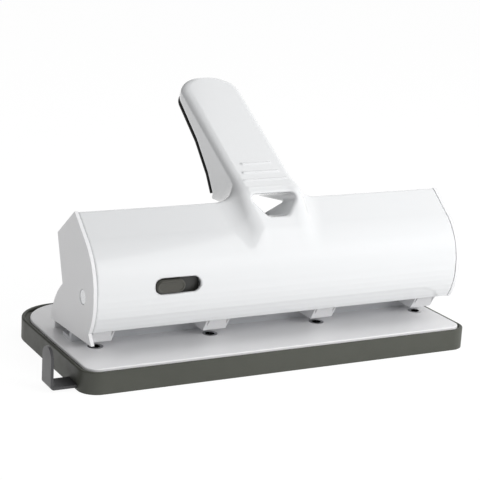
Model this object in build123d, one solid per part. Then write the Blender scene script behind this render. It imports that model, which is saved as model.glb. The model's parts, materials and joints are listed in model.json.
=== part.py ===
"""Four-hole desk punch with a lever handle, built from its separate pieces.

Frame: millimetres, +X to the right along the row of holes, +Y away from the
user (paper goes in towards +Y), +Z up.  The origin lies on the resting plane,
below the middle of the row of holes.
"""
import os
from math import cos, radians, sin

from build123d import *

# ---- paper format ----
hole_count = 4
hole_pitch = 80.0
hole_r = 3.0
hole_margin = 12.0          # hole centre to the edge of the paper

# ---- chip tray ----
tray_left = 144.0           # middle of the row to the tray's left side
tray_right = 135.8
tray_front = 43.0           # row of holes to the front of the tray
tray_depth = 137.0
tray_height = 14.2
tray_front_r = 12.0
tray_rear_r = 31.0
tray_wall = 2.4
tray_floor = 1.6
rim_fillet = 0.9
ledge_width = 3.0

# ---- rest pads ----
pad_r = 8.0
pad_depth = 0.8
pad_inset = 24.0

# ---- base plate ----
plate_top = 15.2
plate_thick = 2.0
plate_rear_corner_r = 34.0
plate_fillet = 0.8
seat_gap = 0.1              # flat faces of two bodies that rest on each other
plate_gap = 1.2             # plate edge to the rim
plate_rear_gap = 1.6

# ---- tray hinge ----
hinge_x = 86.0
hinge_r = 3.0
hinge_pin_r = 1.25
hinge_ear = 5.0
hinge_knuckle = 12.0
hinge_side_gap = 0.4
hinge_wall_gap = 0.5
hinge_z = 13.0

# ---- paper gap, dies and towers ----
paper_gap = 4.6
die_r = 5.0
pin_clearance = 0.06
fit_gap = 0.05              # seated round pieces
tower_width = 12.6
tower_slit = 1.0
tower_rib = 0.9
tower_slit_depth = 4.0
tower_front = 12.0
tower_back = 9.0
tower_height = 11.2
tower_brow = 29.5           # the front leans back below this height
tower_toe = 5.6             # row of holes to the front's lower edge

# ---- steel frame ----
frame_thick = 2.5
frame_foot = 15.0
ear_thick = 2.0
ear_end_gap = 1.0           # filled by the pivot bushes
ear_r = 7.0
frame_screw_r = 2.0
frame_screw_head_r = 3.6
frame_screw_head = 2.0
frame_screw_x = (-100.0, -20.0, 20.0, 100.0)
flange_front = 11.0         # row of holes to the flange's front edge
tower_screw_r = 1.2
tower_screw_head_r = 1.8
tower_screw_head = 1.2
tower_screw_depth = 5.0
tower_screw_y = 6.7
shield_thick = 1.5
shield_top = 48.0
rear_cover_y = 42.3
rear_cover_top = 26.0
rear_cover_peak = 31.0
rear_cover_slope = 5.0
rear_cover_wall = 2.0

# ---- end plates ----
end_outer_x = 133.5
end_thick = 2.2
end_bottom = 21.6
end_heels = {-1: ((-25.5, 24.8),), 1: ((-3.0, 30.0), (0.0, 21.6))}     # by side

# ---- side outline, shared by the cover and the end plates ----
ridge_y, ridge_z = 7.5, 101.0
slope_y, slope_z = -9.5, 88.0
brow_y, brow_z = -20.9, 76.3
belly_y, belly_z = -27.0, 56.0
chin_y, chin_z = -26.0, 43.0
lip_y, lip_z = -20.5, 31.0
rear_y, rear_z = 34.9, 80.7
notch_y, notch_z = 24.0, 50.0
hip_y, hip_z = 36.2, 37.6
tail_y, tail_z = 42.4, 24.9

# ---- lever ----
pivot_y, pivot_z = -9.6, 51.4
pivot_r = 3.0
pivot_screw_r = 4.4
pivot_screw_head = 1.0
pivot_screw_gap = 0.3
pivot_screw_sink = 0.2
pivot_screw_shank_r = 1.8
pivot_screw_depth = 8.0
bush_r = 6.0
lever_angle = 45.0
cover_wall = 2.5
lip_width = 3.5             # the wall's lower ends, which slant
foot_width = 3.0
mouth_height = 7.5
cover_side_gap = 0.4
cover_rear_drop = 24.0      # length of the cover's rear wall
presser_arm = 11.0
presser_r = 2.5
presser_gap = 0.3
bracket_thick = 2.0
bracket_r = 5.6
bracket_near = 24.0         # innermost bracket, beside the finger hole
bracket_mid = 80.0
bracket_end_gap = 0.3       # outermost bracket to the frame's ear
yoke_thick = 2.0
yoke_length = 15.0
yoke_gap = 0.3
yoke_lead = 1.5

# ---- handle ----
handle_half = 22.0
handle_angle = 28.8
handle_base_y, handle_base_z = 16.4, 115.7
handle_length = 104.5
handle_tip = 17.0
handle_edge_r = 3.4
flare_half = 39.0
flare_top = 4.0             # where the flare starts, along the face
flare_mid = -6.0
flare_mid_out = 5.0
flare_foot = -14.0          # where the flare ends, along the face
skirt_mid = 26.0
skirt_mid_drop = 7.6
skirt_drop = 9.8            # below the face, at the end of the flare
waist_half = 25.0
waist_at = 22.0
toe_half = 12.0
toe_at = 40.0
nose_at = 32.7              # lower edge of the finger hole's face
nose_drop = 7.7
chin_at = 41.8              # where that face meets the front
chin_drop = 13.0
handle_rise = 2.0
handle_sweep = 70.0
handle_mid = 54.0           # the back bends here
handle_low = 29.0           # and here
handle_elbow = 16.7         # and turns down to the root here
handle_thick_tip = 11.4
handle_thick_mid = 17.8
handle_thick_low = 25.0
handle_thick_elbow = 31.1
handle_root_inset = 1.2
handle_wall = 2.6
root_y = 13.5               # the handle's underside starts here on the hood's rear slope
root_fall = 0.13            # and falls towards the back by this much per mm
root_heel = 5.0             # the back edge reaches this far below the elbow
root_end = 44.0             # and its floor ends here, before the insert
root_reach = 60.0
root_low = 40.0
insert_lip = 0.6            # the part of the insert that covers the walls' ends
insert_lip_inset = 0.3
insert_thick = 2.4
insert_gap = 0.15
insert_screw_r = 1.5
insert_screw_depth = 4.0
insert_screw_end = 12.0     # handle's tip to the first screw
insert_screw_pitch = 22.0
insert_boss_r = 3.4
insert_boss_gap = 0.6
grip_rib = 0.8
grip_rib_half = (11.0, 13.4, 16.0, 17.0)
grip_rib_at = (10.0, 1.5, -6.0, -13.5)
grip_rib_root = 0.3
grip_rib_width = (1.6, 1.6, 1.6, 3.2)

# ---- finger hole ----
finger_top_half = 16.5
finger_bottom_half = 7.0
finger_top = 17.5           # above the finger hole, along the face
finger_mid_y, finger_mid_z = -3.5, 99.5
finger_height = 15.0
finger_angle = 16.0         # the hole falls towards the back
finger_corner_r = 3.5
finger_lead = 20.0
finger_reach = 90.0
finger_wall = 2.2

# ---- lock ----
slot_x = -77.2
slot_z = 58.8
slot_length = 30.8
slot_height = 9.8
slot_reach = 4.0
slider_length = 19.4
slider_height = 8.4
slider_proud = 1.2
slider_gap = 0.3
slider_wall_gap = 2.1       # the wall is bowed behind the slot
slider_flange = 2.0
slider_flange_thick = 1.2
latch_thick = 2.0
latch_width = 6.0
latch_height = 10.0

# ---- punch pins ----
pin_r = hole_r - pin_clearance
pin_tip_gap = 1.8
head_r = 5.5
head_thick = 3.0
spring_wire = 0.9
spring_turns = 5
spring_gap = 0.5

# ---- paper guide ----
guide_front = 31.0          # row of holes to the strip's front edge
guide_width = 15.0
guide_thick = 1.8
guide_lift = 1.7            # strip's underside above the resting plane
guide_tab_top = 27.3
guide_tab_out = 17.0       # tray's side to the outside of the tab
guide_inner_x = -40.0
guide_rivet_inset = 6.0
guide_bend_r = 2.4
guide_gap = 0.3
guide_rivet_r = 2.0
guide_rivet_height = 3.0
guide_rivet_collar = 1.5
guide_rivet_collar_height = 1.0
guide_rail = 1.6
notch_depth = 12.0
guide_rail_top = 4.0
guide_rail_end = -70.0
clip_x = -130.0
clip_length = 12.0
clip_thick = 1.2

# ---- values worked out from the above ----
tray_back = tray_depth - tray_front
tray_mid_y = (tray_back - tray_front) / 2
inner_back = tray_back - tray_wall
plate_bottom = plate_top - plate_thick
gap_top = plate_top + paper_gap
hole_x = [(i - (hole_count - 1) / 2) * hole_pitch for i in range(hole_count)]
hinge_y = inner_back - hinge_wall_gap - hinge_r
frame_screw_y = hole_margin + frame_thick + (frame_foot - frame_thick) / 2
rear_fall = (ridge_z - rear_z) / (rear_y - ridge_y)
root_z = ridge_z - rear_fall * (root_y - ridge_y)
guide_tab_x = -tray_left - guide_tab_out
rivet_place = (guide_inner_x - guide_rivet_inset, guide_width / 2 - guide_front)
end_inner_x = end_outer_x - end_thick
cover_half = end_inner_x - cover_side_gap
ear_x = end_inner_x - ear_end_gap
bracket_end = ear_x - ear_thick - bracket_end_gap - bracket_thick / 2
flange_bottom = gap_top + tower_height
flange_top = flange_bottom + frame_thick
half_swing = radians(lever_angle / 2)
presser_y = pivot_y + presser_arm * cos(half_swing)
presser_z = pivot_z + presser_arm * sin(half_swing)
head_top = presser_z - presser_r - presser_gap
stroke = 2 * presser_arm * sin(half_swing)
insert_screw_at = (handle_length - insert_screw_end - insert_screw_pitch, handle_length - insert_screw_end)
handle_dir = Vector(0, cos(radians(handle_angle)), sin(radians(handle_angle)))
handle_out = Vector(0, -sin(radians(handle_angle)), cos(radians(handle_angle)))

os.makedirs("parts", exist_ok=True)
print("pin stroke", round(stroke, 3), "mm; coupling", round(stroke / radians(lever_angle) / 1000, 6), "m/rad")


def save(name, solid):
    """Write one sub-part to its own file."""
    solid.label = name
    export_step(solid, "parts/" + name + ".step")


def span(x0, x1, y0, y1, z0, z1):
    """A block between two corners."""
    block = Box(x1 - x0, y1 - y0, z1 - z0)
    return Pos((x0 + x1) / 2, (y0 + y1) / 2, (z0 + z1) / 2) * block


def rod_x(radius, x0, x1, y, z):
    """A round bar along X."""
    return Pos((x0 + x1) / 2, y, z) * Rot(0, 90, 0) * Cylinder(radius, x1 - x0)


def rod_z(radius, z0, z1, x, y):
    """A round bar along Z."""
    return Pos(x, y, (z0 + z1) / 2) * Cylinder(radius, z1 - z0)


def side_prism(wire_lines, x0, x1):
    """Extrude a closed outline, drawn in (y, z), from x0 to x1."""
    face = make_face(Wire(wire_lines))
    solid = extrude(face, amount=x1 - x0, dir=(1, 0, 0))
    return Pos(x0, 0, 0) * solid


def yz(y, z):
    return Vector(0, y, z)


def handle_point(s, n):
    """A point of the handle's side view: s along its face, n out of it."""
    base = yz(handle_base_y, handle_base_z)
    return base + handle_dir * s + handle_out * n


def plan_with_corners(x0, x1, y0, y1, front_r, rear_r):
    """A plan with one corner radius in front and another behind."""
    plan = Pos((x0 + x1) / 2, (y0 + y1) / 2) * Rectangle(x1 - x0, y1 - y0)
    plan = fillet(plan.vertices().group_by(Axis.Y)[0], front_r)
    return fillet(plan.vertices().group_by(Axis.Y)[-1], rear_r)


def tray_plan(inset):
    """The tray's outline, drawn smaller by inset."""
    return plan_with_corners(inset - tray_left, tray_right - inset, inset - tray_front, tray_back - inset,
                             tray_front_r - inset, tray_rear_r - inset)


def hinge_spans():
    """The X ranges of the ears and of the knuckle of each hinge."""
    reach = hinge_knuckle / 2 + hinge_side_gap
    for x in (-hinge_x, hinge_x):
        ears = [(x - reach - hinge_ear, x - reach), (x + reach, x + reach + hinge_ear)]
        yield ears, (x - hinge_knuckle / 2, x + hinge_knuckle / 2)


# ---- chip tray and what it carries ----

def base_tray():
    tray = extrude(tray_plan(0), tray_height)
    tray -= Pos(0, 0, tray_floor) * extrude(tray_plan(tray_wall), tray_height)
    tray = fillet(tray.faces().sort_by(Axis.Z)[-1].edges(), rim_fillet)
    seat = plate_bottom - seat_gap - tray_floor
    ledge = extrude(tray_plan(tray_wall) - tray_plan(tray_wall + ledge_width), seat)
    rear = hinge_y - 2 * hinge_r
    ledge -= span(-tray_left, tray_right, rear, tray_back, 0, seat)
    tray += Pos(0, 0, tray_floor) * ledge
    for ears, _ in hinge_spans():
        for x0, x1 in ears:
            tray += rod_x(hinge_r, x0, x1, hinge_y, hinge_z)
            tray += span(x0, x1, hinge_y - hinge_r, inner_back, tray_floor, hinge_z)
        tray -= rod_x(hinge_pin_r + fit_gap, ears[0][0], ears[1][1], hinge_y, hinge_z)
    y0, y1 = -guide_front, guide_width - guide_front
    for y in (y0 - guide_gap - guide_rail, y1 + guide_gap):
        tray += span(tray_wall - tray_left, guide_rail_end, y, y + guide_rail, tray_floor, guide_rail_top)
    tray -= span(-tray_left - 1, notch_depth - tray_left, y0 - guide_gap, y1 + guide_gap,
                 tray_floor, guide_lift + guide_thick + guide_gap)
    for x, y in pad_places():
        tray -= rod_z(pad_r + fit_gap, 0, pad_depth, x, y)
    save("base_tray", tray)


def pad_places():
    sides = (pad_inset - tray_left, tray_right - pad_inset)
    return [(x, y) for x in sides for y in (pad_inset - tray_front, tray_back - pad_inset)]


def rest_pads():
    save("rest_pads", Compound(children=[rod_z(pad_r, 0, pad_depth, x, y) for x, y in pad_places()]))


def tray_hinge_pins():
    pins = [rod_x(hinge_pin_r, ears[0][0], ears[1][1], hinge_y, hinge_z) for ears, _ in hinge_spans()]
    save("tray_hinge_pins", Compound(children=pins))


def guide_clip():
    y0 = -guide_front - guide_gap - guide_rail
    y1 = guide_width - guide_front + guide_gap + guide_rail
    z0 = guide_rail_top
    save("guide_clip", span(clip_x, clip_x + clip_length, y0, y1, z0, z0 + clip_thick))


def paper_guide():
    y0 = -guide_front
    y1 = y0 + guide_width
    z0 = guide_lift
    strip = span(guide_tab_x, guide_inner_x, y0, y1, z0, z0 + guide_thick)
    tab = span(guide_tab_x, guide_tab_x + guide_thick, y0, y1, z0, guide_tab_top)
    guide = strip + tab
    outer = guide.edges().filter_by(Axis.Y).group_by(Axis.X)[0].sort_by(Axis.Z)[0]
    guide = fillet(outer, guide_bend_r)
    tops = guide.edges().filter_by(Axis.X).group_by(Axis.Z)[-1]
    guide = fillet(tops, guide_width / 2 - 0.2)
    guide -= rod_z(guide_rivet_r + fit_gap, 0, z0 + guide_thick + 1, *rivet_place)
    save("paper_guide", guide)
    top = z0 + guide_thick
    rivet = rod_z(guide_rivet_r, z0, top + guide_rivet_height, *rivet_place)
    collar = guide_rivet_r + guide_rivet_collar
    rivet += rod_z(collar, top, top + guide_rivet_collar_height, *rivet_place)
    save("guide_stop", rivet)


# ---- base plate and the steel frame on it ----

def base_plate():
    inset = tray_wall + plate_gap
    plan = plan_with_corners(inset - tray_left, tray_right - inset, inset - tray_front,
                             inner_back - plate_rear_gap, tray_front_r - inset, plate_rear_corner_r)
    plate = Pos(0, 0, plate_bottom) * extrude(plan, plate_thick)
    plate = fillet(plate.faces().sort_by(Axis.Z)[-1].edges(), plate_fillet)
    for ears, knuckle in hinge_spans():
        for x0, x1 in ears:
            plate -= span(x0 - hinge_side_gap, x1 + hinge_side_gap, hinge_y - hinge_r - plate_gap, tray_back,
                          0, tray_height + plate_thick)
        plate += rod_x(hinge_r, *knuckle, hinge_y, hinge_z)
        plate -= rod_x(hinge_pin_r + pin_clearance, *knuckle, hinge_y, hinge_z)
    for x in hole_x:
        plate -= rod_z(die_r + fit_gap, 0, plate_top + 1, x, 0)
    for x in frame_screw_x:
        plate -= rod_z(frame_screw_r + fit_gap, 0, plate_top + 1, x, frame_screw_y)
    save("base_plate", plate)


def punch_dies():
    die = rod_z(die_r, plate_bottom, plate_top, 0, 0) - rod_z(hole_r, 0, plate_top + 1, 0, 0)
    save("punch_dies", Compound(children=[Pos(x, 0, 0) * die for x in hole_x]))


def ear(x0, x1):
    """A frame ear that carries the pivot shaft."""
    foot_front, foot_back = -flange_front, hole_margin
    outline = Polyline(yz(foot_front, flange_bottom), yz(foot_back, flange_bottom), yz(foot_back, flange_top),
                       yz(pivot_y + ear_r, pivot_z), yz(pivot_y - ear_r, pivot_z), yz(foot_front, flange_top),
                       close=True)
    plate = side_prism(outline, x0, x1) + rod_x(ear_r, x0, x1, pivot_y, pivot_z)
    return plate


def punch_frame():
    y0 = hole_margin
    frame = span(-end_inner_x, end_inner_x, y0, y0 + frame_thick, plate_top, flange_top)
    frame += span(-end_inner_x, end_inner_x, y0, y0 + frame_foot, plate_top, plate_top + frame_thick)
    frame += span(-end_inner_x, end_inner_x, -flange_front, y0 + frame_thick, flange_bottom, flange_top)
    frame += ear(-ear_x, -ear_x + ear_thick)
    frame += ear(ear_x - ear_thick, ear_x)
    frame -= rod_x(pivot_r + pin_clearance, -end_inner_x, end_inner_x, pivot_y, pivot_z)
    for x in hole_x:
        frame -= rod_z(hole_r + spring_gap, flange_bottom - 1, flange_top + 1, x, 0)
        frame -= rod_z(tower_screw_r + fit_gap, flange_bottom - 1, flange_top + 1, x, tower_screw_y)
    for x in frame_screw_x:
        frame -= rod_z(frame_screw_r + fit_gap, plate_top - 1, plate_top + frame_thick + 1, x, frame_screw_y)
    save("punch_frame", frame)


def frame_screws():
    seat = plate_top + frame_thick
    screws = []
    for x in frame_screw_x:
        screw = rod_z(frame_screw_r, plate_bottom, seat, x, frame_screw_y)
        screws.append(screw + rod_z(frame_screw_head_r, seat, seat + frame_screw_head, x, frame_screw_y))
    save("frame_screws", Compound(children=screws))


def rear_shield():
    y0 = hole_margin + frame_thick
    z0 = plate_top + frame_thick
    save("rear_shield", span(-end_inner_x, end_inner_x, y0, y0 + shield_thick, z0, shield_top))


def rear_cover():
    y0 = hole_margin + frame_thick + shield_thick
    t = rear_cover_wall
    bend_y = rear_cover_y - rear_cover_slope
    outer = Polyline(yz(rear_cover_y, plate_top), yz(rear_cover_y, tail_z), yz(bend_y, rear_cover_peak),
                     yz(y0, rear_cover_top), yz(y0, rear_cover_top - t),
                     yz(bend_y - t / 2, rear_cover_peak - t),
                     yz(rear_cover_y - t, tail_z - t / 2), yz(rear_cover_y - t, plate_top), close=True)
    save("rear_cover", side_prism(outer, -end_inner_x, end_inner_x))


def front_curve():
    """The cover's front, from the ridge down to the lip."""
    return [Line(yz(ridge_y, ridge_z), yz(slope_y, slope_z)),
            ThreePointArc(yz(slope_y, slope_z), yz(brow_y, brow_z), yz(belly_y, belly_z)),
            ThreePointArc(yz(belly_y, belly_z), yz(chin_y, chin_z), yz(lip_y, lip_z))]


def end_plate(name, side):
    lines = front_curve()
    heel = [yz(*place) for place in end_heels[side]]
    below = [yz(lip_y, lip_z), *heel, yz(tail_y, end_bottom), yz(tail_y, tail_z)]
    lines += [Line(a, b) for a, b in zip(below, below[1:])]
    lines += [ThreePointArc(yz(tail_y, tail_z), yz(hip_y, hip_z), yz(notch_y, notch_z)),
              Line(yz(notch_y, notch_z), yz(rear_y, rear_z)),
              Line(yz(rear_y, rear_z), yz(ridge_y, ridge_z))]
    x0, x1 = sorted((side * end_inner_x, side * end_outer_x))
    plate = side_prism(lines, x0, x1)
    head0, head1 = sorted((side * (end_outer_x - pivot_screw_head), side * end_outer_x))
    plate -= rod_x(pivot_screw_r + pivot_screw_gap, head0, head1, pivot_y, pivot_z)
    plate -= rod_x(pivot_screw_shank_r + fit_gap, x0, x1, pivot_y, pivot_z)
    save(name, plate)


def punch_tower(index, x):
    half = tower_width / 2
    outer = half + tower_slit + tower_rib
    tower = span(x - outer, x + outer, -tower_front, tower_back, gap_top, flange_bottom)
    slit_end = tower_slit_depth - tower_front
    for x0 in (x - half - tower_slit, x + half):
        tower -= span(x0, x0 + tower_slit, -tower_front, slit_end, gap_top, flange_bottom)
    lean = Polyline(yz(-tower_front, tower_brow), yz(-tower_toe, gap_top), yz(-tower_front, gap_top), close=True)
    tower -= side_prism(lean, x - outer, x + outer)
    tower -= rod_z(hole_r, gap_top, flange_bottom, x, 0)
    hole_end = flange_bottom - tower_screw_depth
    tower -= rod_z(tower_screw_r + fit_gap, hole_end, flange_bottom, x, tower_screw_y)
    save("punch_tower_" + str(index), tower)


def tower_screws():
    screws = []
    for x in hole_x:
        screw = rod_z(tower_screw_r, flange_bottom - tower_screw_depth, flange_top, x, tower_screw_y)
        head_end = flange_top + tower_screw_head
        screws.append(screw + rod_z(tower_screw_head_r, flange_top, head_end, x, tower_screw_y))
    save("tower_screws", Compound(children=screws))


# ---- pivot ----

def pivot_parts():
    shaft = rod_x(pivot_r, -end_inner_x, end_inner_x, pivot_y, pivot_z)
    for side in (-1, 1):
        x0, x1 = sorted((side * (end_inner_x - pivot_screw_depth), side * end_inner_x))
        shaft -= rod_x(pivot_screw_shank_r + fit_gap, x0, x1, pivot_y, pivot_z)
    save("pivot_shaft", shaft)
    bushes = []
    screws = []
    for side in (-1, 1):
        x0, x1 = sorted((side * ear_x, side * end_inner_x))
        bush = rod_x(bush_r, x0, x1, pivot_y, pivot_z) - rod_x(pivot_r + fit_gap, x0, x1, pivot_y, pivot_z)
        bushes.append(bush)
        seat = end_outer_x - pivot_screw_head
        x0, x1 = sorted((side * (end_inner_x - pivot_screw_depth), side * seat))
        screw = rod_x(pivot_screw_shank_r, x0, x1, pivot_y, pivot_z)
        x0, x1 = sorted((side * seat, side * (end_outer_x - pivot_screw_sink)))
        screws.append(screw + rod_x(pivot_screw_r, x0, x1, pivot_y, pivot_z))
    save("pivot_bushes", Compound(children=bushes))
    save("pivot_screws", Compound(children=screws))


# ---- lever ----

def rear_wall_end():
    """Where the cover's rear wall stops, on the line from its corner to the notch."""
    down = (yz(notch_y, notch_z) - yz(rear_y, rear_z)).normalized()
    return yz(rear_y, rear_z) + down * cover_rear_drop


def cover_shell():
    """The long hood: a bent wall, open at its ends and below."""
    foot = rear_wall_end()
    lip = yz(lip_y, lip_z)
    outline = front_curve()
    rear = yz(rear_y, rear_z)
    outline += [Line(lip, foot), Line(foot, rear), Line(rear, yz(ridge_y, ridge_z))]
    face = make_face(Wire(outline))
    inner = offset(face, -cover_wall)
    along = (foot - lip).normalized()
    up = along.cross(Vector(1, 0, 0)) * -1
    a = lip + along * lip_width - up * cover_wall
    b = foot - along * foot_width - up * cover_wall
    mouth = Polyline(a, b, b + up * mouth_height, a + up * mouth_height, close=True)
    block = Pos(-cover_half, 0, 0) * extrude(face, amount=2 * cover_half, dir=(1, 0, 0))
    hollow = Pos(-cover_half, 0, 0) * extrude(inner, amount=2 * cover_half, dir=(1, 0, 0))
    shell = block - hollow - side_prism(mouth, -cover_half, cover_half)
    return shell, hollow


def handle_plan(shrink):
    """The handle seen square to its face, drawn smaller by shrink."""
    w = handle_half - shrink
    top = handle_length - shrink
    shoulder = handle_length - handle_tip
    flare = flare_half - shrink
    waist = waist_half - shrink
    toe = toe_half - shrink
    right = [ThreePointArc((toe, -toe_at), (waist, -waist_at), (flare, flare_foot)),
             ThreePointArc((flare, flare_foot), (w + flare_mid_out, flare_mid), (w, flare_top)),
             Line((w, flare_top), (w, shoulder)),
             EllipticalCenterArc((0, shoulder), w, top - shoulder, arc_size=90)]
    left = [EllipticalCenterArc((0, shoulder), w, top - shoulder, start_angle=90, arc_size=90),
            Line((-w, shoulder), (-w, flare_top)),
            ThreePointArc((-w, flare_top), (-w - flare_mid_out, flare_mid), (-flare, flare_foot)),
            ThreePointArc((-flare, flare_foot), (-waist, -waist_at), (-toe, -toe_at)),
            Line((-toe, -toe_at), (toe, -toe_at))]
    face = make_face(Wire(right + left))
    plane = Plane(origin=handle_point(0, handle_rise), x_dir=(1, 0, 0), z_dir=handle_out)
    return extrude(plane * face, amount=-handle_sweep)


def handle_crown(shrink):
    """The handle seen along its length: its rounded edges run out into a skirt."""
    x = handle_half - handle_edge_r
    w = handle_half - shrink
    turn = (handle_edge_r - shrink) * sin(radians(45))
    lines = []
    for side in (-1, 1):
        lines += [ThreePointArc((side * x, -shrink), (side * (x + turn), turn - handle_edge_r),
                                (side * w, -handle_edge_r)),
                  ThreePointArc((side * w, -handle_edge_r), (side * skirt_mid, -skirt_mid_drop - shrink),
                                (side * flare_half, -skirt_drop - shrink)),
                  Line((side * flare_half, -skirt_drop - shrink), (side * flare_half, -handle_sweep))]
    lines += [Line((-x, -shrink), (x, -shrink)),
              Line((-flare_half, -handle_sweep), (flare_half, -handle_sweep))]
    plane = Plane(origin=handle_point(-handle_sweep, 0), x_dir=(-1, 0, 0), z_dir=handle_dir)
    return extrude(plane * make_face(Wire(lines)), amount=2 * handle_sweep + handle_length)


def handle_back(rise):
    """The back line from the tip to the elbow, moved towards the face by rise."""
    places = [(handle_length, handle_thick_tip), (handle_mid, handle_thick_mid),
              (handle_low, handle_thick_low), (handle_elbow, handle_thick_elbow)]
    return [handle_point(s, rise - thick) for s, thick in places]


def handle_body():
    """The handle's side outline, front and back, down into the hood, with its plan and edges."""
    pts = [handle_point(-chin_at, -chin_drop), handle_point(-nose_at, -nose_drop),
           handle_point(-finger_top, 0), handle_point(handle_length, 0)]
    pts += handle_back(insert_lip)
    elbow = handle_point(handle_elbow, -handle_thick_elbow)
    pts += [elbow, elbow - Vector(0, 0, root_heel), yz(rear_y - handle_root_inset, rear_z + handle_root_inset)]
    return side_prism(Polyline(*pts, close=True), -flare_half, flare_half) & handle_plan(0) & handle_crown(0)


def handle_core():
    """The handle's hollow, open at the back above its elbow and into the hood."""
    w = handle_wall
    pts = [handle_point(-chin_at, -chin_drop - 1.4 * w), handle_point(w / 2 - nose_at, -nose_drop - w),
           handle_point(w / 2 - finger_top, -w), handle_point(handle_length, -w)]
    pts += handle_back(-handle_thick_elbow)
    pts += [handle_point(handle_elbow, w - handle_thick_elbow), yz(rear_y - 2 * w, rear_z - w)]
    return side_prism(Polyline(*pts, close=True), -flare_half, flare_half) & handle_plan(w) & handle_crown(w)


def root_space():
    """The open space behind the hood's rear slope and under the handle's root."""
    far_z = root_z - root_fall * (root_reach - root_y)
    pts = [yz(root_y, root_z), yz(root_reach, far_z), yz(root_reach, root_low), yz(rear_y, rear_z)]
    return side_prism(Polyline(*pts, close=True), -flare_half, flare_half)


def finger_prism(grow):
    """The finger hole as a long bar, grown by grow on each side."""
    top = finger_top_half + grow
    bottom = finger_bottom_half + grow
    h = finger_height / 2 + grow
    face = make_face(Polyline((-top, h), (top, h), (bottom, -h), (-bottom, -h), close=True))
    face = fillet(face.vertices(), finger_corner_r)
    a = radians(finger_angle)
    axis = Vector(0, cos(a), -sin(a))
    start = yz(finger_mid_y, finger_mid_z) - axis * finger_lead
    plane = Plane(origin=start, x_dir=(1, 0, 0), z_dir=axis * -1)
    return extrude(plane * face, amount=-finger_reach)


def slot_prism(length, height, y0, y1, x):
    """A stadium bar along Y."""
    plane = Plane(origin=(x, y0, slot_z), x_dir=(1, 0, 0), z_dir=(0, -1, 0))
    return extrude(plane * SlotOverall(length, height), amount=y0 - y1)


def lever_cover():
    shell, hollow = cover_shell()
    body = handle_body()
    floor = span(-flare_half, flare_half, ridge_y, root_end, root_low, root_z + handle_wall)
    cover = shell + (body - hollow) - (handle_core() - floor) - root_space()
    tunnel = (finger_prism(finger_wall) & (hollow + body)) - finger_prism(0)
    cover = cover + (tunnel - root_space()) - finger_prism(0)
    for s, half, width in zip(grip_rib_at, grip_rib_half, grip_rib_width):
        plane = Plane(origin=handle_point(s, -grip_rib_root), x_dir=(1, 0, 0), z_dir=handle_out)
        cover += extrude(plane * SlotOverall(2 * half, width), amount=grip_rib + grip_rib_root)
    for s in insert_screw_at:
        boss = handle_rod(s, insert_boss_r, back_of_insert(s) + insert_boss_gap, -handle_wall / 2)
        cover += boss - insert_screw_hole(s)
    cover -= slot_prism(slot_length, slot_height, belly_y - slot_reach, belly_y + slot_reach, slot_x)
    save("lever_cover", cover)


def yoke(name, side):
    """Steel brackets on a strip, which carry the presser bar and turn on the shaft."""
    slope = (yz(ridge_y, ridge_z) - yz(slope_y, slope_z)).normalized()
    inward = Vector(0, slope.Z, -slope.Y)
    root = yz(slope_y, slope_z) + inward * (cover_wall + yoke_gap) + slope * yoke_lead
    far = root + slope * yoke_length
    strip = Polyline(root, far, far + inward * yoke_thick, root + inward * yoke_thick, close=True)
    x0, x1 = sorted((side * (bracket_near - bracket_thick / 2), side * (bracket_end + bracket_thick / 2)))
    part = side_prism(strip, x0, x1)
    for x in (bracket_near, bracket_mid, bracket_end):
        a = side * x - bracket_thick / 2
        b = side * x + bracket_thick / 2
        web = Polyline(root + inward * yoke_thick / 2, far + inward * yoke_thick / 2,
                       yz(presser_y + bracket_r, presser_z), yz(pivot_y - bracket_r, pivot_z), close=True)
        part += side_prism(web, a, b)
        part += rod_x(bracket_r, a, b, pivot_y, pivot_z)
        part += rod_x(bracket_r, a, b, presser_y, presser_z)
        part -= rod_x(pivot_r + pin_clearance, a, b, pivot_y, pivot_z)
        part -= rod_x(presser_r + fit_gap, a, b, presser_y, presser_z)
    save(name, part)


def presser_bar():
    x = bracket_end + bracket_thick / 2
    save("presser_bar", rod_x(presser_r, -x, x, presser_y, presser_z))


def handle_depth(s):
    """How far the handle's back lies below its face, between its bend and its tip."""
    slope = (handle_thick_mid - handle_thick_tip) / (handle_length - handle_mid)
    return handle_thick_mid - slope * (s - handle_mid)


def back_of_insert(s):
    """Where the insert's inner side lies at s, below the handle's face."""
    return insert_lip + insert_thick - handle_depth(s)


def handle_rod(s, radius, low, high):
    """A round bar square to the handle at s, between two depths."""
    plane = Plane(origin=handle_point(s, low), x_dir=(1, 0, 0), z_dir=handle_out)
    return extrude(plane * Circle(radius), amount=high - low)


def insert_screw_hole(s):
    top = back_of_insert(s) + insert_screw_depth
    return handle_rod(s, insert_screw_r + fit_gap, -handle_depth(s) - handle_rise, top + insert_boss_gap)


def insert_slab(low, high, inset):
    """A layer along the handle's back, between two heights above it."""
    pts = handle_back(low) + handle_back(high)[::-1]
    lower_end = handle_point(handle_elbow + insert_gap, 0)
    slab = side_prism(Polyline(*pts, close=True), -flare_half, flare_half)
    plane = Plane(origin=lower_end, z_dir=handle_dir)
    return split(slab, bisect_by=plane, keep=Keep.TOP) & handle_plan(inset)


def handle_insert():
    """The dark panel that closes the handle's back, with a lip over the walls' ends."""
    panel = insert_slab(0, insert_lip - insert_gap / 3, insert_lip_inset)
    panel += insert_slab(0, insert_lip + insert_thick, handle_wall + insert_gap)
    screws = []
    for s in insert_screw_at:
        panel -= insert_screw_hole(s)
        screws.append(handle_rod(s, insert_screw_r, -handle_depth(s), back_of_insert(s) + insert_screw_depth))
    save("handle_insert", panel)
    save("insert_screws", Compound(children=screws))


# ---- lock ----

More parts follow.
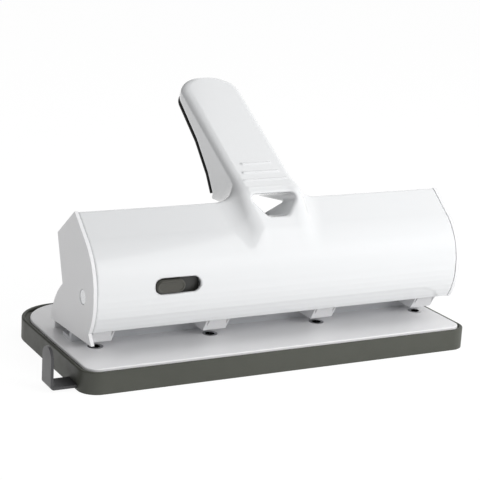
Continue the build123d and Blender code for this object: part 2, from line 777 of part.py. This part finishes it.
def lock_parts():
    travel = slot_length - slider_length - 2 * slider_gap
    x = slot_x - travel / 2
    wall_in = belly_y + cover_wall + slider_wall_gap
    button = slot_prism(slider_length, slider_height, belly_y - slider_proud, wall_in, x)
    cover_left = slot_x - slot_length / 2 - travel - slider_gap
    cover_right = slot_x + slot_length / 2 + slider_gap
    half = slot_height / 2 + slider_flange
    y0 = wall_in + slider_flange_thick
    flange = span(cover_left, cover_right, wall_in, y0, slot_z - half, slot_z + half)
    save("lock_slider", button + flange)
    save("lock_latch", span(x - latch_width / 2, x + latch_width / 2, y0, y0 + latch_thick,
                            slot_z - latch_height, slot_z))
    print("lock travel", round(travel, 3), "mm")


# ---- punch pins and their springs ----

def punch_pin(index, x):
    tip = gap_top + pin_tip_gap
    pin = rod_z(pin_r, tip, head_top, x, 0)
    pin += rod_z(head_r, head_top - head_thick, head_top, x, 0)
    save("punch_pin_" + str(index), pin)


def return_spring(index, x):
    radius = pin_r + spring_gap + spring_wire / 2
    height = head_top - head_thick - flange_top - spring_wire
    path = Helix(pitch=height / spring_turns, height=height, radius=radius)
    wire = Plane(origin=path @ 0, z_dir=path % 0) * Circle(spring_wire / 2)
    coil = sweep(wire, path=path, is_frenet=True)
    save("return_spring_" + str(index), Pos(x, 0, flange_top + spring_wire / 2) * coil)


def main():
    base_tray()
    rest_pads()
    tray_hinge_pins()
    guide_clip()
    paper_guide()
    base_plate()
    punch_dies()
    punch_frame()
    frame_screws()
    rear_shield()
    rear_cover()
    end_plate("end_plate_left", -1)
    end_plate("end_plate_right", 1)
    tower_screws()
    pivot_parts()
    lever_cover()
    yoke("yoke_left", -1)
    yoke("yoke_right", 1)
    presser_bar()
    handle_insert()
    lock_parts()
    for index, x in enumerate(hole_x, 1):
        punch_tower(index, x)
        punch_pin(index, x)
        return_spring(index, x)


main()
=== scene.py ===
"""Looks of the four-hole lever punch: the smooth moulded hood, and the finish of every piece."""
import json
import math

import bpy
import numpy as np
from mathutils import Matrix, Vector


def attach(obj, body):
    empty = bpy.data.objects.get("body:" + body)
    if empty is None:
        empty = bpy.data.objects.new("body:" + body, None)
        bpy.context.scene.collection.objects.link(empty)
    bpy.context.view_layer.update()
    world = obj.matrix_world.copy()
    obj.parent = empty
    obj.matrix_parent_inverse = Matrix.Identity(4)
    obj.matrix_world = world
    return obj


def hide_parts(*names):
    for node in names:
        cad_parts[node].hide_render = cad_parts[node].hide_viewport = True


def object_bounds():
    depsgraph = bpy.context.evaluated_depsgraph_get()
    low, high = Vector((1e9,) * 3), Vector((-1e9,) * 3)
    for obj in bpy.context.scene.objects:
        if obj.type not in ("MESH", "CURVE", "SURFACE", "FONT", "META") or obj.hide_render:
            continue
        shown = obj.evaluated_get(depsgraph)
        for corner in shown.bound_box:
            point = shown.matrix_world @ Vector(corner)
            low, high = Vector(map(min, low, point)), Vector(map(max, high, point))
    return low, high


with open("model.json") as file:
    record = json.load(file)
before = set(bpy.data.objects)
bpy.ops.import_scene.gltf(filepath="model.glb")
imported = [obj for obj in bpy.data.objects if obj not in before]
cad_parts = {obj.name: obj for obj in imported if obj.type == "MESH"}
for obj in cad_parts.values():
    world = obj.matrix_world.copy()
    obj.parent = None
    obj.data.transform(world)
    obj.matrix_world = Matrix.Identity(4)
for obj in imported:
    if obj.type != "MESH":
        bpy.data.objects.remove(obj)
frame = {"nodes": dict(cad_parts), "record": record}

MM = 0.001
cad_low, cad_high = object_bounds()
nodes = frame["nodes"]

# ---- camera: the photograph's viewpoint, found from the holes' pitch and the straight edges ----
CAMERA_PLACE = (-0.4653, -0.8175, 0.3266)
CAMERA_YAW = math.radians(28.474)
CAMERA_PITCH = math.radians(15.045)
CAMERA_ROLL = math.radians(3.42)
CAMERA_LENS = 112.2
SENSOR = 36.0


def make_camera():
    data = bpy.data.cameras.new("camera")
    data.sensor_width = SENSOR
    data.lens = CAMERA_LENS
    data.clip_start = 0.05
    data.clip_end = 50.0
    camera = bpy.data.objects.new("camera", data)
    bpy.context.scene.collection.objects.link(camera)
    ahead = Vector((math.sin(CAMERA_YAW) * math.cos(CAMERA_PITCH),
                    math.cos(CAMERA_YAW) * math.cos(CAMERA_PITCH), -math.sin(CAMERA_PITCH)))
    level = Vector((math.cos(CAMERA_YAW), -math.sin(CAMERA_YAW), 0))
    upright = level.cross(ahead)
    right = level * math.cos(CAMERA_ROLL) + upright * math.sin(CAMERA_ROLL)
    up = upright * math.cos(CAMERA_ROLL) - level * math.sin(CAMERA_ROLL)
    turn = Matrix((right, up, -ahead)).transposed().to_4x4()
    camera.matrix_world = Matrix.Translation(CAMERA_PLACE) @ turn
    bpy.context.scene.camera = camera


# ---- materials ----

class Nodes:
    """A material's node tree, with short calls to add and join nodes."""

    def __init__(self, name):
        self.name = name
        self.material = bpy.data.materials.new(name)
        self.material.use_nodes = True
        self.tree = self.material.node_tree
        self.shader = self.tree.nodes["Principled BSDF"]
        self.place = self.add("ShaderNodeTexCoord").outputs["Object"]

    def add(self, kind, **values):
        node = self.tree.nodes.new(kind)
        for key, value in values.items():
            setattr(node, key, value)
        return node

    def join(self, a, b):
        self.tree.links.new(a, b)

    def noise(self, scale, detail=2.0, stretch=(1, 1, 1)):
        """A noise in metres: scale is how many grains lie in one metre."""
        mapping = self.add("ShaderNodeMapping")
        mapping.inputs["Scale"].default_value = stretch
        self.join(self.place, mapping.inputs["Vector"])
        node = self.add("ShaderNodeTexNoise")
        node.inputs["Scale"].default_value = scale
        node.inputs["Detail"].default_value = detail
        self.join(mapping.outputs["Vector"], node.inputs["Vector"])
        return node.outputs["Fac"]

    def span(self, value, low, high):
        """The noise value spread between two numbers."""
        node = self.add("ShaderNodeMapRange")
        node.inputs["From Min"].default_value = 0.3
        node.inputs["From Max"].default_value = 0.7
        node.inputs["To Min"].default_value = low
        node.inputs["To Max"].default_value = high
        self.join(value, node.inputs["Value"])
        return node.outputs["Result"]

    def colours(self, value, dark, light):
        node = self.add("ShaderNodeMix", data_type="RGBA")
        self.join(value, node.inputs["Factor"])
        node.inputs["A"].default_value = (*dark, 1)
        node.inputs["B"].default_value = (*light, 1)
        self.join(node.outputs["Result"], self.shader.inputs["Base Color"])

    def bump(self, value, depth, strength=1.0):
        node = self.add("ShaderNodeBump")
        node.inputs["Strength"].default_value = strength
        node.inputs["Distance"].default_value = depth
        self.join(value, node.inputs["Height"])
        self.join(node.outputs["Normal"], self.shader.inputs["Normal"])


def shade(colour, factor):
    return tuple(min(1.0, c * factor) for c in colour)


def moulded(name, colour, rough, spread, grain, depth, mottle=0.03):
    """Moulded plastic: a fine grain, and a colour and gloss that wander a little."""
    made = Nodes(name)
    cloud = made.noise(14.0, 3.0)
    made.colours(cloud, shade(colour, 1 - mottle), shade(colour, 1 + mottle))
    gloss = made.span(made.noise(90.0, 4.0), rough - spread, rough + spread)
    made.join(gloss, made.shader.inputs["Roughness"])
    made.bump(made.noise(grain, 3.0), depth)
    return made


def metal(name, colour, rough, stretch, depth):
    """Drawn or plated steel: streaks along one axis."""
    made = Nodes(name)
    streaks = made.noise(700.0, 3.0, stretch)
    made.colours(streaks, shade(colour, 0.88), shade(colour, 1.08))
    made.shader.inputs["Metallic"].default_value = 1.0
    made.join(made.span(streaks, rough * 0.75, rough * 1.3), made.shader.inputs["Roughness"])
    made.bump(streaks, depth)
    return made


def make_materials():
    white = moulded("white_gloss", (0.79, 0.80, 0.81), 0.12, 0.02, 260.0, 0.000012, 0.006)
    white.shader.inputs["Specular IOR Level"].default_value = 0.7
    white.shader.inputs["Coat Weight"].default_value = 1.0
    white.shader.inputs["Coat Roughness"].default_value = 0.03
    satin = moulded("white_satin", (0.86, 0.86, 0.87), 0.34, 0.04, 900.0, 0.00002, 0.008)
    tray = moulded("tray_plastic", (0.070, 0.073, 0.060), 0.52, 0.05, 1500.0, 0.00006, 0.06)
    dark = moulded("dark_plastic", (0.040, 0.040, 0.038), 0.42, 0.05, 1300.0, 0.00005, 0.06)
    rubber = moulded("rubber", (0.03, 0.03, 0.03), 0.75, 0.06, 1100.0, 0.0001, 0.1)
    guide = moulded("guide_metal", (0.055, 0.055, 0.058), 0.34, 0.05, 1200.0, 0.00003, 0.05)
    zinc = metal("zinc", (0.66, 0.67, 0.68), 0.30, (1, 1, 1), 0.00002)
    steel = metal("steel", (0.60, 0.60, 0.60), 0.24, (0.05, 1, 1), 0.00002)
    hard = metal("hard_steel", (0.52, 0.52, 0.53), 0.16, (1, 1, 0.1), 0.00001)
    button = moulded("button", (0.066, 0.065, 0.055), 0.40, 0.05, 1500.0, 0.00004, 0.05)
    paint = moulded("white_paint", (0.66, 0.67, 0.69), 0.38, 0.04, 900.0, 0.00002, 0.01)
    made = [white, satin, paint, tray, dark, rubber, guide, zinc, steel, hard, button]
    return {m.name: m.material for m in made}


# ---- shapes from distances, in millimetres ----

def arc_through(a, b, c, count):
    """Points on the circle from a through b to c, without the last."""
    (ax, ay), (bx, by), (cx, cy) = a, b, c
    d = 2 * (ax * (by - cy) + bx * (cy - ay) + cx * (ay - by))
    ux = ((ax**2 + ay**2) * (by - cy) + (bx**2 + by**2) * (cy - ay) + (cx**2 + cy**2) * (ay - by)) / d
    uy = ((ax**2 + ay**2) * (cx - bx) + (bx**2 + by**2) * (ax - cx) + (cx**2 + cy**2) * (bx - ax)) / d
    r = math.hypot(ax - ux, ay - uy)
    start = math.atan2(ay - uy, ax - ux)
    sweep = math.remainder(math.atan2(cy - uy, cx - ux) - start, 2 * math.pi)
    return [(ux + r * math.cos(start + sweep * i / count), uy + r * math.sin(start + sweep * i / count))
            for i in range(count)]


def rounded(points, count=7):
    """A closed outline from (u, v, radius), with each corner that has a radius drawn as an arc."""
    out = []
    for i, (u, v, r) in enumerate(points):
        here = Vector((u, v))
        if r == 0:
            out.append((u, v))
            continue
        before = (Vector(points[i - 1][:2]) - here).normalized()
        after = (Vector(points[(i + 1) % len(points)][:2]) - here).normalized()
        half = before.angle(after) / 2
        reach = r / math.tan(half)
        middle = here + (before + after).normalized() * (r / math.sin(half))
        a = here + before * reach - middle
        b = here + after * reach - middle
        turn = a.angle_signed(b)
        for k in range(count + 1):
            angle = -turn * k / count
            out.append((middle.x + a.x * math.cos(angle) - a.y * math.sin(angle),
                        middle.y + a.x * math.sin(angle) + a.y * math.cos(angle)))
    return out


def outline_distance(outline, u, v):
    """Distance of points from a closed outline, negative inside."""
    best = np.full(u.shape, 1e9)
    inside = np.zeros(u.shape, bool)
    for (au, av), (bu, bv) in zip(outline, outline[1:] + outline[:1]):
        du, dv = bu - au, bv - av
        t = np.clip(((u - au) * du + (v - av) * dv) / (du * du + dv * dv), 0, 1)
        best = np.minimum(best, (u - au - t * du) ** 2 + (v - av - t * dv) ** 2)
        crosses = (av > v) != (bv > v)
        if dv:
            inside ^= crosses & (u < au + (v - av) * du / dv)
    return np.where(inside, -1.0, 1.0) * np.sqrt(best)


class Table:
    """The distance from an outline, worked out once on a fine grid and read between its points."""
    step = 0.3

    def __init__(self, outline, low, high):
        self.low = low
        u = np.arange(low[0], high[0], self.step)
        v = np.arange(low[1], high[1], self.step)
        self.values = outline_distance(outline, *np.meshgrid(u, v, indexing="ij"))

    def __call__(self, u, v):
        a = np.clip((u - self.low[0]) / self.step, 0, self.values.shape[0] - 1.001)
        b = np.clip((v - self.low[1]) / self.step, 0, self.values.shape[1] - 1.001)
        i, j = a.astype(int), b.astype(int)
        s, t = a - i, b - j
        q = self.values
        return ((q[i, j] * (1 - s) + q[i + 1, j] * s) * (1 - t)
                + (q[i, j + 1] * (1 - s) + q[i + 1, j + 1] * s) * t)


def join(a, b, k):
    """The union of two distances, with a fillet of about k where they meet."""
    h = np.maximum(k - np.abs(a - b), 0) / k
    return np.minimum(a, b) - h * h * k / 4


def meet(a, b, k):
    """What two distances share, with edges rounded by about k."""
    return -join(-a, -b, k)


def surface(field, xs, ys, zs):
    """A closed mesh where field is zero: one point in each cell that it passes, moved onto it."""
    across = np.meshgrid(ys, zs, indexing="ij")
    values = np.stack([field(np.full((len(ys), len(zs)), x), *across) for x in xs])
    solid = values < 0
    count = np.zeros([n - 1 for n in values.shape], int)
    total = np.zeros([*count.shape, 3])
    axes = (np.array(xs), np.array(ys), np.array(zs))
    for axis in range(3):
        first, second = [slice(None)] * 3, [slice(None)] * 3
        first[axis], second[axis] = slice(0, -1), slice(1, None)
        a, b = values[tuple(first)], values[tuple(second)]
        crossed = solid[tuple(first)] != solid[tuple(second)]
        t = np.where(crossed, a / np.where(crossed, a - b, 1), 0)
        grid = list(np.meshgrid(*[ax[:n] for ax, n in zip(axes, a.shape)], indexing="ij"))
        wide = np.diff(axes[axis]).reshape([-1 if k == axis else 1 for k in range(3)])
        grid[axis] = grid[axis] + t * wide
        others = [k for k in range(3) if k != axis]
        for da in (0, 1):
            for db in (0, 1):
                part = [slice(None)] * 3
                part[others[0]] = slice(da, a.shape[others[0]] - 1 + da)
                part[others[1]] = slice(db, a.shape[others[1]] - 1 + db)
                hit = crossed[tuple(part)]
                count += hit
                for k in range(3):
                    total[..., k] += np.where(hit, grid[k][tuple(part)], 0)
    index = np.full(count.shape, -1)
    used = count > 0
    index[used] = np.arange(used.sum())
    points = total[used] / count[used][:, None]
    quads = []
    for axis in range(3):
        first, second = [slice(1, -1)] * 3, [slice(1, -1)] * 3
        first[axis], second[axis] = slice(0, -1), slice(1, None)
        low, high = solid[tuple(first)], solid[tuple(second)]
        cells = np.argwhere(low != high)
        inner = low[tuple(cells.T)]
        b, c = [k for k in range(3) if k != axis]
        cells[:, b] += 1
        cells[:, c] += 1
        around = []
        for db, dc in ((-1, -1), (0, -1), (0, 0), (-1, 0)):
            at = cells.copy()
            at[:, b] += db
            at[:, c] += dc
            around.append(index[tuple(at.T)])
        ring = np.stack(around, 1)
        turned = inner != (axis == 1)
        quads.append(np.where(turned[:, None], ring, ring[:, ::-1]))
    quads = np.concatenate(quads)
    for _ in range(4):
        value = field(*points.T)
        slope = gradient(field, points)
        step = (value / np.maximum((slope**2).sum(1), 0.25))[:, None] * slope
        points = points - np.clip(step, -0.6, 0.6)
    return points, quads


def gradient(field, points, reach=0.35):
    parts = []
    for axis in range(3):
        ahead, behind = points.copy(), points.copy()
        ahead[:, axis] += reach
        behind[:, axis] -= reach
        parts.append((field(*ahead.T) - field(*behind.T)) / (2 * reach))
    return np.stack(parts, 1)


def mesh_piece(name, points, faces, normals=None):
    """A mesh object from points in millimetres."""
    mesh = bpy.data.meshes.new(name)
    mesh.from_pydata((points * MM).tolist(), [], faces.tolist())
    mesh.validate()
    mesh.shade_smooth()
    if normals is not None:
        mesh.normals_split_custom_set_from_vertices(normals.tolist())
    piece = bpy.data.objects.new(name, mesh)
    bpy.context.scene.collection.objects.link(piece)
    return piece


# ---- the hood and its handle ----
# Sizes as in the solid model, in millimetres: (y, z) across the hood, (s, n) along the handle's face
# from its base point and out of it.
RIDGE, SLOPE, BROW, BELLY = (7.5, 101.0), (-9.5, 88.0), (-20.9, 76.3), (-27.0, 56.0)
CHIN, LIP, REAR, NOTCH = (-26.0, 43.0), (-20.5, 31.0), (34.9, 80.7), (24.0, 50.0)
REAR_WALL = 24.0
WALL = 2.5
HALF_LENGTH = 131.1
HANDLE_BASE = (16.4, 115.7)
HANDLE_ANGLE = math.radians(28.8)
HANDLE_HALF = 22.0
HANDLE_LENGTH = 104.5
HANDLE_TIP = 17.0
HANDLE_EDGE = 5.5
HANDLE_ROOT = ((12.5, -42.0), (17.5, -31.0), (20.5, -16.0))     # (x, s) where it widens out of the hood
ROOT_Y, ROOT_FALL, ROOT_HEEL, ROOT_REACH, ROOT_LOW = 13.5, 0.13, 5.0, 60.0, 40.0
INSERT_LIP = 0.6
INSERT_THICK = 2.55
BACK_LINE = ((104.5, 11.4), (54.0, 17.8), (29.0, 25.0), (16.7, 31.1))
FLARE_BLEND = 18.0
NOSE_BLEND = 16.0
SLOT = (-77.2, 58.8, 30.8, 9.8)
SLIDER = (-82.6, 19.4, 8.4, -28.2)     # middle, length, height and face
FLANGE = (-103.7, -61.5, -22.4, -21.2, 6.9)
HOLE_TOP, HOLE_BOTTOM, HOLE_HEIGHT = 16.5, 7.0, 15.0
HOLE_MIDDLE = (-3.5, 99.5)
HOLE_ANGLE = math.radians(16.0)
HOLE_EDGE = 2.0
TUNNEL_WALL = 2.2
EDGE = 0.8               # the rounding of the hood's other edges
RIBS = ((10.0, 11.0, 1.6), (1.5, 13.4, 1.6), (-6.0, 16.0, 1.6), (-13.5, 17.0, 3.2))
RIB_RISE = 0.8


def handle_point(s, n):
    return (HANDLE_BASE[0] + s * math.cos(HANDLE_ANGLE) - n * math.sin(HANDLE_ANGLE),
            HANDLE_BASE[1] + s * math.sin(HANDLE_ANGLE) + n * math.cos(HANDLE_ANGLE))


def along_handle(y, z):
    dy, dz = y - HANDLE_BASE[0], z - HANDLE_BASE[1]
    return (dy * math.cos(HANDLE_ANGLE) + dz * math.sin(HANDLE_ANGLE),
            dz * math.cos(HANDLE_ANGLE) - dy * math.sin(HANDLE_ANGLE))


def rear_foot():
    down = (Vector(NOTCH) - Vector(REAR)).normalized()
    return Vector(REAR) + down * REAR_WALL


def hood_outline():
    foot = rear_foot()
    points = [(*RIDGE, 2.6)]
    points += [(y, z, 0) for y, z in arc_through(SLOPE, BROW, BELLY, 24)]
    points += [(y, z, 0) for y, z in arc_through(BELLY, CHIN, LIP, 7)]
    points += [(*LIP, EDGE), (foot.x, foot.y, EDGE), (*REAR, 2.0)]
    return rounded(points)


def mouth_outline():
    """The opening below, between the hood's two lower edges."""
    lip, foot = Vector(LIP), rear_foot()
    along = (foot - lip).normalized()
    up = Vector((-along.y, along.x))
    a, b = lip + along * 3.5 - up * 8, foot - along * 3.0 - up * 8
    return [tuple(a), tuple(b), tuple(b + up * 14), tuple(a + up * 14)]


def handle_side():
    """The handle seen from the side, down into the hood."""
    points = [(*handle_point(-41.8, -13.0), 5.0), (*handle_point(-32.7, -7.7), 6.0),
              (*handle_point(-17.5, 0), 6.0), (*handle_point(HANDLE_LENGTH, 0), 4.0)]
    points += [(*handle_point(s, INSERT_LIP - t), 9.0 if 20 < s < 99 else 0) for s, t in BACK_LINE]
    elbow = handle_point(BACK_LINE[-1][0], -BACK_LINE[-1][1])
    points += [(*elbow, 0), (elbow[0], elbow[1] - ROOT_HEEL, 0), (*root_start(), 0), (0, 70, 0)]
    return rounded(points)


def root_start():
    """Where the handle's underside leaves the hood's rear slope."""
    fall = (RIDGE[1] - REAR[1]) / (REAR[0] - RIDGE[0])
    return (ROOT_Y, RIDGE[1] - fall * (ROOT_Y - RIDGE[0]))


def root_space():
    """The open space behind the hood's rear slope and under the handle's root."""
    y, z = root_start()
    return [(y, z), (ROOT_REACH, z - ROOT_FALL * (ROOT_REACH - y)), (ROOT_REACH, ROOT_LOW), REAR]


def handle_back(rise):
    """The region behind the handle's back line, moved towards the face by rise."""
    s_end = BACK_LINE[-1][0]
    points = [handle_point(HANDLE_LENGTH + 9, rise - 10.1)]
    points += [handle_point(s, rise - t) for s, t in BACK_LINE]
    points += [handle_point(s_end, -60), handle_point(HANDLE_LENGTH + 9, -60)]
    return points


def handle_plan():
    """The handle seen square to its face, in (x, s)."""
    right = [*HANDLE_ROOT, (HANDLE_HALF, 4.0), (HANDLE_HALF, HANDLE_LENGTH - HANDLE_TIP)]
    tip = [(HANDLE_HALF * math.cos(a), HANDLE_LENGTH - HANDLE_TIP * (1 - math.sin(a)))
           for a in np.linspace(0, math.pi, 33)[1:-1]]
    left = [(-x, s) for x, s in right[::-1]]
    return right + tip + left


def hole_outline():
    """The finger hole across its axis, in (x, height)."""
    h = HOLE_HEIGHT / 2
    top, low = HOLE_TOP, HOLE_BOTTOM
    return rounded([(top, h, 3.0), (top - 1.0, h * 0.35, 3.0), (low, -h, 5.0),
                    (-low, -h, 5.0), (1.0 - top, h * 0.35, 3.0), (-top, h, 3.0)])


SIDE_BOX = ((-60.0, 10.0), (140.0, 190.0))
hood_table = Table(hood_outline(), *SIDE_BOX)
mouth_table = Table(mouth_outline(), *SIDE_BOX)
side_table = Table(handle_side(), *SIDE_BOX)
cap_table = Table(handle_back(INSERT_LIP), *SIDE_BOX)
pocket_table = Table(handle_back(INSERT_LIP + INSERT_THICK), *SIDE_BOX)
plan_table = Table(handle_plan(), (-70.0, -80.0), (70.0, 130.0))
hole_table = Table(hole_outline(), (-70.0, -60.0), (70.0, 60.0))
root_table = Table(root_space(), *SIDE_BOX)


def ribs(x, s, n):
    """The grip ribs across the handle's base."""
    made = np.full(np.shape(x), 1e3)
    for at, half, width in RIBS:
        across = np.maximum(np.abs(x) - half + width / 2, 0)
        flat = np.hypot(across, s - at)
        made = np.minimum(made, np.hypot(flat, np.maximum(np.abs(n) - RIB_RISE + width / 2, 0)) - width / 2)
    return made


def cover(x, y, z):
    """Distance from the hood's surface, handle and all."""
    s, n = along_handle(y, z)
    wide = np.abs(x)
    skin = hood_table(y, z)
    side = side_table(y, z)
    plan = plan_table(x, s)
    handle = meet(plan, side, HANDLE_EDGE)
    spread = np.clip((wide - 8) / 14, 0, 1)
    blend = NOSE_BLEND + (FLARE_BLEND - NOSE_BLEND) * spread * spread * (3 - 2 * spread)
    body = join(skin, handle, blend)
    body = np.minimum(meet(body, -root_table(y, z), EDGE), skin)
    body = join(body, ribs(x, s, n), EDGE)
    body = meet(body, wide - HALF_LENGTH, EDGE)
    dy, dz = y - HOLE_MIDDLE[0], z - HOLE_MIDDLE[1]
    height = dz * math.cos(HOLE_ANGLE) + dy * math.sin(HOLE_ANGLE)
    hole = hole_table(x, height)
    cavity = meet(skin + WALL, TUNNEL_WALL - hole, 0.6)
    body = meet(body, -cavity, EDGE)
    body = meet(body, -mouth_table(y, z), EDGE)
    body = meet(body, -hole, HOLE_EDGE)
    above = s > BACK_LINE[-1][0] - 3
    recess = np.minimum(np.maximum(cap_table(y, z), wide - 60),
                        np.maximum(pocket_table(y, z), plan + 2.6))
    body = np.where(above, np.maximum(body, -recess), body)
    slot_x, slot_z, length, deep = SLOT
    flat = np.hypot(np.maximum(np.abs(x - slot_x) - (length - deep) / 2, 0), z - slot_z) - deep / 2
    slot = np.maximum(flat, y + 15)
    return meet(body, -slot, EDGE)


def grid_x():
    """Close together round the handle and the slot, wide apart between them."""
    fine, wide = 1.0, 3.5
    stops = ((-132.5, -128, fine), (-128, -90, wide), (-90, -50, fine), (-50, -44, fine),
             (-44, 44, fine), (44, 128, wide), (128, 132.5, fine))
    xs = [stops[0][0]]
    for low, high, step in stops:
        count = max(1, round((high - low) / step))
        xs += [low + (high - low) * (k + 1) / count for k in range(count)]
    return xs


def make_cover(materials):
    ys = np.arange(-30.0, 112.0, 1.0)
    zs = np.arange(28.0, 167.0, 1.0)
    points, quads = surface(cover, grid_x(), ys, zs)
    slope = gradient(cover, points)
    normals = slope / np.linalg.norm(slope, axis=1)[:, None]
    piece = mesh_piece("hood", points, quads, normals)
    piece.data.materials.append(materials["white_gloss"])
    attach(piece, "lever")
    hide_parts("lever_cover")


# ---- the lock's slider ----

def stadium(x, z, shrink):
    middle, length, height, _ = SLIDER
    reach = (length - height) / 2
    return np.hypot(np.maximum(np.abs(x - middle) - reach, 0), z - SLOT[1]) - height / 2 + shrink


def slider(x, y, z):
    """The finger pad with a raised rim, on a flange that closes the slot from inside."""
    x0, x1, y0, y1, half = FLANGE
    pad = meet(stadium(x, z, 0), np.maximum(SLIDER[3] - y, y - y0 - 0.5), 1.6)
    dish = meet(stadium(x, z, 1.3), y - SLIDER[3] - 0.55, 0.8)
    pad = meet(pad, -dish, 0.4)
    flange = np.maximum(np.maximum(x0 - x, x - x1), np.maximum(y0 - y, y - y1))
    flange = np.maximum(flange, np.abs(z - SLOT[1]) - half)
    return np.minimum(pad, flange)


def make_slider(materials):
    x0, x1, y0, y1, half = FLANGE
    middle = SLIDER[0]
    xs = list(np.arange(x0 - 0.9, middle - 10.5, 1.0))
    xs += list(np.arange(middle - 10.4, middle + 10.5, 0.4))
    xs += list(np.arange(middle + 11, x1 + 1.2, 1.0))
    ys = np.arange(SLIDER[3] - 0.6, y1 + 0.6, 0.3)
    zs = np.arange(SLOT[1] - half - 0.9, SLOT[1] + half + 0.9, 0.4)
    points, quads = surface(slider, xs, ys, zs)
    piece = mesh_piece("slider", points, quads)
    piece.data.materials.append(materials["button"])
    # The flange behind the pad takes the darker plastic. That is partly its own dark colour and partly
    # painted shade for the deep recess of the slot around the pad.
    piece.data.materials.append(materials["dark_plastic"])
    for face in piece.data.polygons:
        if sum(points[v][1] for v in face.vertices) / len(face.vertices) > y0 - 0.3:
            face.material_index = 1
    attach(piece, "lock")
    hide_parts("lock_slider")


# ---- finish of the CAD nodes ----

def dress(materials):
    for row in frame["record"]["subparts"]:
        node = nodes[row["node"]]
        node.data.materials.clear()
        node.data.materials.append(materials[row["material_slot"]])


# ---- stage and light ----

AMBIENT = 0.46           # how much of the white surroundings lights the part
FLAG_LEAN = (-2.44, 0, 1)    # the flag covers every direction that leans this way by more than FLAG_EDGE
FLAG_EDGE = -0.23
FLAG_SOFT = 0.02
FLAG_DEPTH = 0.9
FLOOR_HALF = 14.0
FLOOR_GLOW, FLOOR_GLOW_SHARE = 1.06, 0.88     # what the camera sees of the floor: mostly an even glow


def white_where_seen(tree, dull):
    """Two outputs for a ray that is seen or mirrored, against any other: 1 or dull, and 1 or 0."""
    path = tree.nodes.new("ShaderNodeLightPath")
    first = tree.nodes.new("ShaderNodeMath")
    first.operation = "MAXIMUM"
    second = tree.nodes.new("ShaderNodeMath")
    second.operation = "MAXIMUM"
    tree.links.new(path.outputs["Is Camera Ray"], first.inputs[0])
    tree.links.new(path.outputs["Is Glossy Ray"], first.inputs[1])
    tree.links.new(first.outputs[0], second.inputs[0])
    tree.links.new(path.outputs["Is Transmission Ray"], second.inputs[1])
    spread = tree.nodes.new("ShaderNodeMapRange")
    spread.inputs["To Min"].default_value = dull
    spread.inputs["To Max"].default_value = 1.0
    tree.links.new(second.outputs[0], spread.inputs["Value"])
    return spread.outputs["Result"], second.outputs[0]


def make_world():
    """White to the camera; a flag darkens what the hood's upper left mirrors."""
    world = bpy.data.worlds.new("studio")
    bpy.context.scene.world = world
    world.use_nodes = True
    tree = world.node_tree
    back = tree.nodes["Background"]
    back.inputs["Color"].default_value = (1, 1, 1, 1)
    seen, _ = white_where_seen(tree, AMBIENT)
    path = tree.nodes.new("ShaderNodeLightPath")
    place = tree.nodes.new("ShaderNodeTexCoord")
    lean = tree.nodes.new("ShaderNodeVectorMath")
    lean.operation = "DOT_PRODUCT"
    lean.inputs[1].default_value = FLAG_LEAN
    tree.links.new(place.outputs["Generated"], lean.inputs[0])
    flag = tree.nodes.new("ShaderNodeMapRange")
    flag.inputs["From Min"].default_value = FLAG_EDGE - FLAG_SOFT
    flag.inputs["From Max"].default_value = FLAG_EDGE + FLAG_SOFT
    tree.links.new(lean.outputs["Value"], flag.inputs["Value"])
    mirrored = tree.nodes.new("ShaderNodeMath")
    mirrored.operation = "MULTIPLY"
    tree.links.new(flag.outputs["Result"], mirrored.inputs[0])
    tree.links.new(path.outputs["Is Glossy Ray"], mirrored.inputs[1])
    strength = tree.nodes.new("ShaderNodeMath")
    strength.operation = "MULTIPLY_ADD"
    tree.links.new(mirrored.outputs[0], strength.inputs[0])
    strength.inputs[1].default_value = -FLAG_DEPTH
    tree.links.new(seen, strength.inputs[2])
    tree.links.new(strength.outputs[0], back.inputs["Strength"])


def make_floor():
    mesh = bpy.data.meshes.new("floor")
    corners = ((-1, -1), (1, -1), (1, 1), (-1, 1))
    mesh.from_pydata([(x * FLOOR_HALF, y * FLOOR_HALF, cad_low.z) for x, y in corners], [], [(0, 1, 2, 3)])
    floor = bpy.data.objects.new("floor", mesh)
    bpy.context.scene.collection.objects.link(floor)
    material = bpy.data.materials.new("floor")
    material.use_nodes = True
    tree = material.node_tree
    shader = tree.nodes["Principled BSDF"]
    shader.inputs["Base Color"].default_value = (0.93, 0.93, 0.93, 1)
    shader.inputs["Roughness"].default_value = 0.9
    glow = tree.nodes.new("ShaderNodeEmission")
    glow.inputs["Strength"].default_value = FLOOR_GLOW
    mix = tree.nodes.new("ShaderNodeMixShader")
    _, seen = white_where_seen(tree, 0.0)
    part = tree.nodes.new("ShaderNodeMath")
    part.operation = "MULTIPLY"
    part.inputs[1].default_value = FLOOR_GLOW_SHARE
    tree.links.new(seen, part.inputs[0])
    tree.links.new(part.outputs[0], mix.inputs["Fac"])
    tree.links.new(shader.outputs[0], mix.inputs[1])
    tree.links.new(glow.outputs[0], mix.inputs[2])
    tree.links.new(mix.outputs[0], tree.nodes["Material Output"].inputs["Surface"])
    mesh.materials.append(material)


def softbox(name, place, aim, width, height, power):
    data = bpy.data.lights.new(name, "AREA")
    data.shape = "RECTANGLE"
    data.size = width
    data.size_y = height
    data.energy = power
    lamp = bpy.data.objects.new(name, data)
    lamp.location = place
    lamp.visible_glossy = False
    lamp.rotation_mode = "QUATERNION"
    lamp.rotation_quaternion = (Vector(place) - Vector(aim)).to_track_quat("Z", "Y")
    bpy.context.scene.collection.objects.link(lamp)


def make_lights():
    middle = (0.0, 0.0, 0.06)
    softbox("key", (0.75, -1.00, 0.62), middle, 0.9, 0.5, 11.5)
    softbox("top", (0.3, -0.3, 1.3), middle, 1.2, 0.8, 3.0)


make_camera()
make_world()
make_floor()
make_lights()
materials = make_materials()
dress(materials)
make_cover(materials)
make_slider(materials)

bpy.context.scene.view_settings.view_transform = "Standard"
